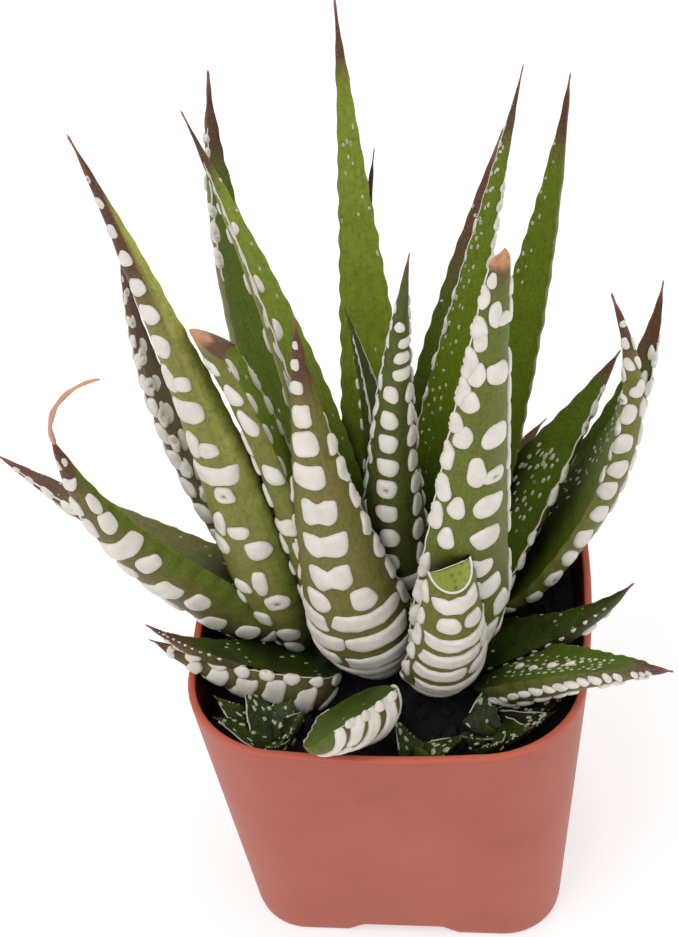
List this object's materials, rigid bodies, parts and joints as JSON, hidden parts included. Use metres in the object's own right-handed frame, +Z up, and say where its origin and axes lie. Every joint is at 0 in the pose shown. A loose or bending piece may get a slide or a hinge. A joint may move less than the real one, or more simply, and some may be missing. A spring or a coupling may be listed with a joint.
{
  "type": "potted haworthia",
  "caption": "Zebra haworthia with banded, tapering leaves and small offsets, growing in soil in a square tapered plastic nursery pot that stands on its flat foot.",
  "frame": {"origin": "centre of the pot's foot, on the surface that it stands on", "axes": "+Z up, -Y the pot side that faces the viewer, +X to the viewer's right"},
  "size_m": [0.0998, 0.0705, 0.1355],
  "materials": {
    "pot_plastic": "satin",
    "potting_soil": "rough",
    "stem_tissue": "matte",
    "leaf_flesh": "satin",
    "offset_flesh": "satin"
  },
  "bodies": {
    "root": {"pot": "pot_plastic", "soil": "potting_soil", "stem": "stem_tissue", "leaf_centre_young": "leaf_flesh", "leaf_centre": "leaf_flesh", "leaf_right_tall": "leaf_flesh", "leaf_back_left_bright": "leaf_flesh", "leaf_back_tallest": "leaf_flesh", "leaf_front": "leaf_flesh", "leaf_right_low": "leaf_flesh", "leaf_back_left": "leaf_flesh", "leaf_right_hooked": "leaf_flesh", "leaf_back_right": "leaf_flesh", "leaf_back_right_dark": "leaf_flesh", "leaf_right_blunt": "leaf_flesh", "leaf_left_blunt": "leaf_flesh", "leaf_right_short": "leaf_flesh", "leaf_right_outer": "leaf_flesh", "leaf_rim_left_back": "leaf_flesh", "leaf_left_dried": "leaf_flesh", "leaf_left_outer": "leaf_flesh", "leaf_left_tall": "leaf_flesh", "leaf_front_cut": "leaf_flesh", "leaf_back_hidden": "leaf_flesh", "leaf_rim_left_small": "leaf_flesh", "leaf_rim_left_front": "leaf_flesh", "leaf_rim_right_back": "leaf_flesh", "leaf_rim_right_front": "leaf_flesh", "leaf_left_behind": "leaf_flesh", "leaf_low_back": "leaf_flesh", "leaf_low_back_left": "leaf_flesh", "leaf_low_back_right": "leaf_flesh", "leaf_rim_front": "leaf_flesh", "offset_left": "offset_flesh", "offset_front": "offset_flesh", "offset_right": "offset_flesh"}
  },
  "joints": []
}
